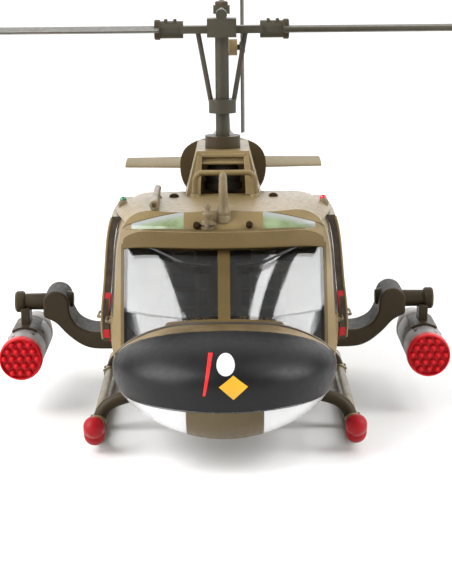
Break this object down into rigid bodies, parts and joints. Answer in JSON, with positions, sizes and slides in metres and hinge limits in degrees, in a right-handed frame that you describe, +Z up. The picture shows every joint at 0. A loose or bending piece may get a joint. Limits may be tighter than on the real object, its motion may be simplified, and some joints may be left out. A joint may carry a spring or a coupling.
{
  "type": "toy helicopter",
  "caption": "Scale model gunship helicopter with a glazed nose, spinning main and tail rotors, hinged crew doors, sliding cabin doors, side rocket pods and skids.",
  "frame": {"origin": "on the ground under the middle of the model's length, on its centre plane", "axes": "+Z up, -Y towards the nose, +X towards the helicopter's left side, along the main rotor at rest"},
  "size_m": [0.2794, 0.256, 0.0926],
  "materials": {
    "olive_paint": "satin olive drab paint on die-cast metal",
    "khaki_paint": "satin khaki paint on moulded plastic",
    "nose_black": "satin black paint",
    "clear_plastic": "clear moulded plastic",
    "tinted_plastic": "pale green clear plastic",
    "dark_trim": "satin black",
    "interior_dark": "dark matt plastic",
    "dark_olive": "dark olive satin paint",
    "pod_grey": "light grey paint",
    "red_plastic": "red semi-gloss plastic",
    "red_lamp": "red gloss plastic",
    "green_lamp": "green gloss plastic",
    "burnt_metal": "burnt metal paint",
    "rotor_dark": "dark olive satin paint"
  },
  "bodies": {
    "fuselage": {"cabin_bench": "interior_dark", "cabin_roof": "olive_paint", "chin_windows": "clear_plastic", "cockpit_floor": "interior_dark", "control_sticks": "interior_dark", "copilot_seat": "interior_dark", "door_frame_left": "olive_paint", "door_frame_right": "olive_paint", "elevators": "khaki_paint", "engine_cowl": "olive_paint", "exhaust_pipe": "burnt_metal", "front_strut_left": "olive_paint", "front_strut_right": "olive_paint", "handrail": "olive_paint", "instrument_panel": "interior_dark", "lower_hull": "olive_paint", "mast_bearing": "dark_olive", "nose_cap": "nose_black", "pilot_seat": "interior_dark", "pod_caps": "red_plastic", "position_lamp_left": "red_lamp", "position_lamp_right": "green_lamp", "rear_bulkhead": "interior_dark", "rear_fuselage": "olive_paint", "rear_strut_left": "olive_paint", "rear_strut_right": "olive_paint", "rocket_pod_left": "pod_grey", "rocket_pod_right": "pod_grey", "roof_probes": "olive_paint", "roof_vents": "olive_paint", "roof_windows": "tinted_plastic", "skid_tube_left": "olive_paint", "skid_tube_right": "olive_paint", "tail_boom": "olive_paint", "tail_fin": "olive_paint", "tail_gearbox": "olive_paint", "tail_skid": "rotor_dark", "toe_caps": "red_plastic", "transmission_fairing": "olive_paint", "weapon_arm_left": "dark_olive", "weapon_arm_right": "dark_olive", "windshield_frame": "olive_paint", "windshield_left": "clear_plastic", "windshield_right": "clear_plastic", "wipers": "dark_trim"},
    "main_rotor": {"rotor_mast": "rotor_dark", "rotor_hub": "rotor_dark", "main_blades": "rotor_dark", "stabiliser_bar": "rotor_dark", "pitch_links": "rotor_dark"},
    "tail_rotor": {"tail_rotor_hub": "rotor_dark", "tail_rotor_blades": "rotor_dark"},
    "crew_door_left": {"crew_door_left": "olive_paint", "crew_window_left": "clear_plastic"},
    "crew_door_right": {"crew_door_right": "olive_paint", "crew_window_right": "clear_plastic"},
    "cargo_door_left": {"cargo_door_left": "olive_paint", "cargo_window_left": "clear_plastic"},
    "cargo_door_right": {"cargo_door_right": "olive_paint", "cargo_window_right": "clear_plastic"}
  },
  "joints": [
    {"name": "main_rotor_spin", "type": "hinge", "parent": "fuselage", "child": "main_rotor", "pos_m": [0, -0.055, 0.08], "axis": [0, 0, 1], "continuous": true},
    {"name": "tail_rotor_spin", "type": "hinge", "parent": "fuselage", "child": "tail_rotor", "pos_m": [0.006, 0.117, 0.0656], "axis": [1, 0, 0], "continuous": true},
    {"name": "crew_door_left_swing", "type": "hinge", "parent": "fuselage", "child": "crew_door_left", "pos_m": [0.0229, -0.1001, 0.02], "axis": [0, 0, -1], "range_deg": [0, 65]},
    {"name": "crew_door_right_swing", "type": "hinge", "parent": "fuselage", "child": "crew_door_right", "pos_m": [-0.0229, -0.1001, 0.02], "axis": [0, 0, 1], "range_deg": [0, 65]},
    {"name": "cargo_door_left_slide", "type": "slide", "parent": "fuselage", "child": "cargo_door_left", "axis": [0, 1, 0], "range_m": [0, 0.024]},
    {"name": "cargo_door_right_slide", "type": "slide", "parent": "fuselage", "child": "cargo_door_right", "axis": [0, 1, 0], "range_m": [0, 0.024]}
  ]
}
